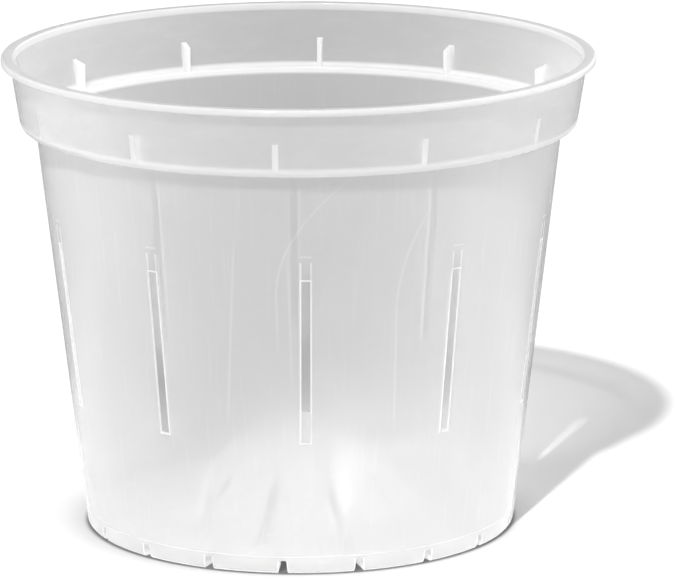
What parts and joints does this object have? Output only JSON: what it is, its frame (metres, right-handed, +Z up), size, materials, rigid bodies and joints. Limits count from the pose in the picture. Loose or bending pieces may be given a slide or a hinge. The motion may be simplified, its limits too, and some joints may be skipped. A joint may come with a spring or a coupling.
{
  "type": "orchid pot",
  "caption": "Round tapered orchid pot in frosted translucent plastic, with air slots in the wall, a stepped collar, stacking ribs, notched foot pads and a raised slotted dome in the floor.",
  "frame": {"origin": "centre of the foot, on the plane that the foot pads stand on", "axes": "+Z up along the pot's axis; -Y faces the viewer of the picture, with a channel of the foot about 4 degrees to its left"},
  "size_m": [0.1528, 0.1528, 0.123],
  "materials": {
    "frosted_plastic": "frosted translucent polypropylene, satin, with faint flow lines"
  },
  "bodies": {
    "root": {"pot": "frosted_plastic"}
  },
  "joints": []
}
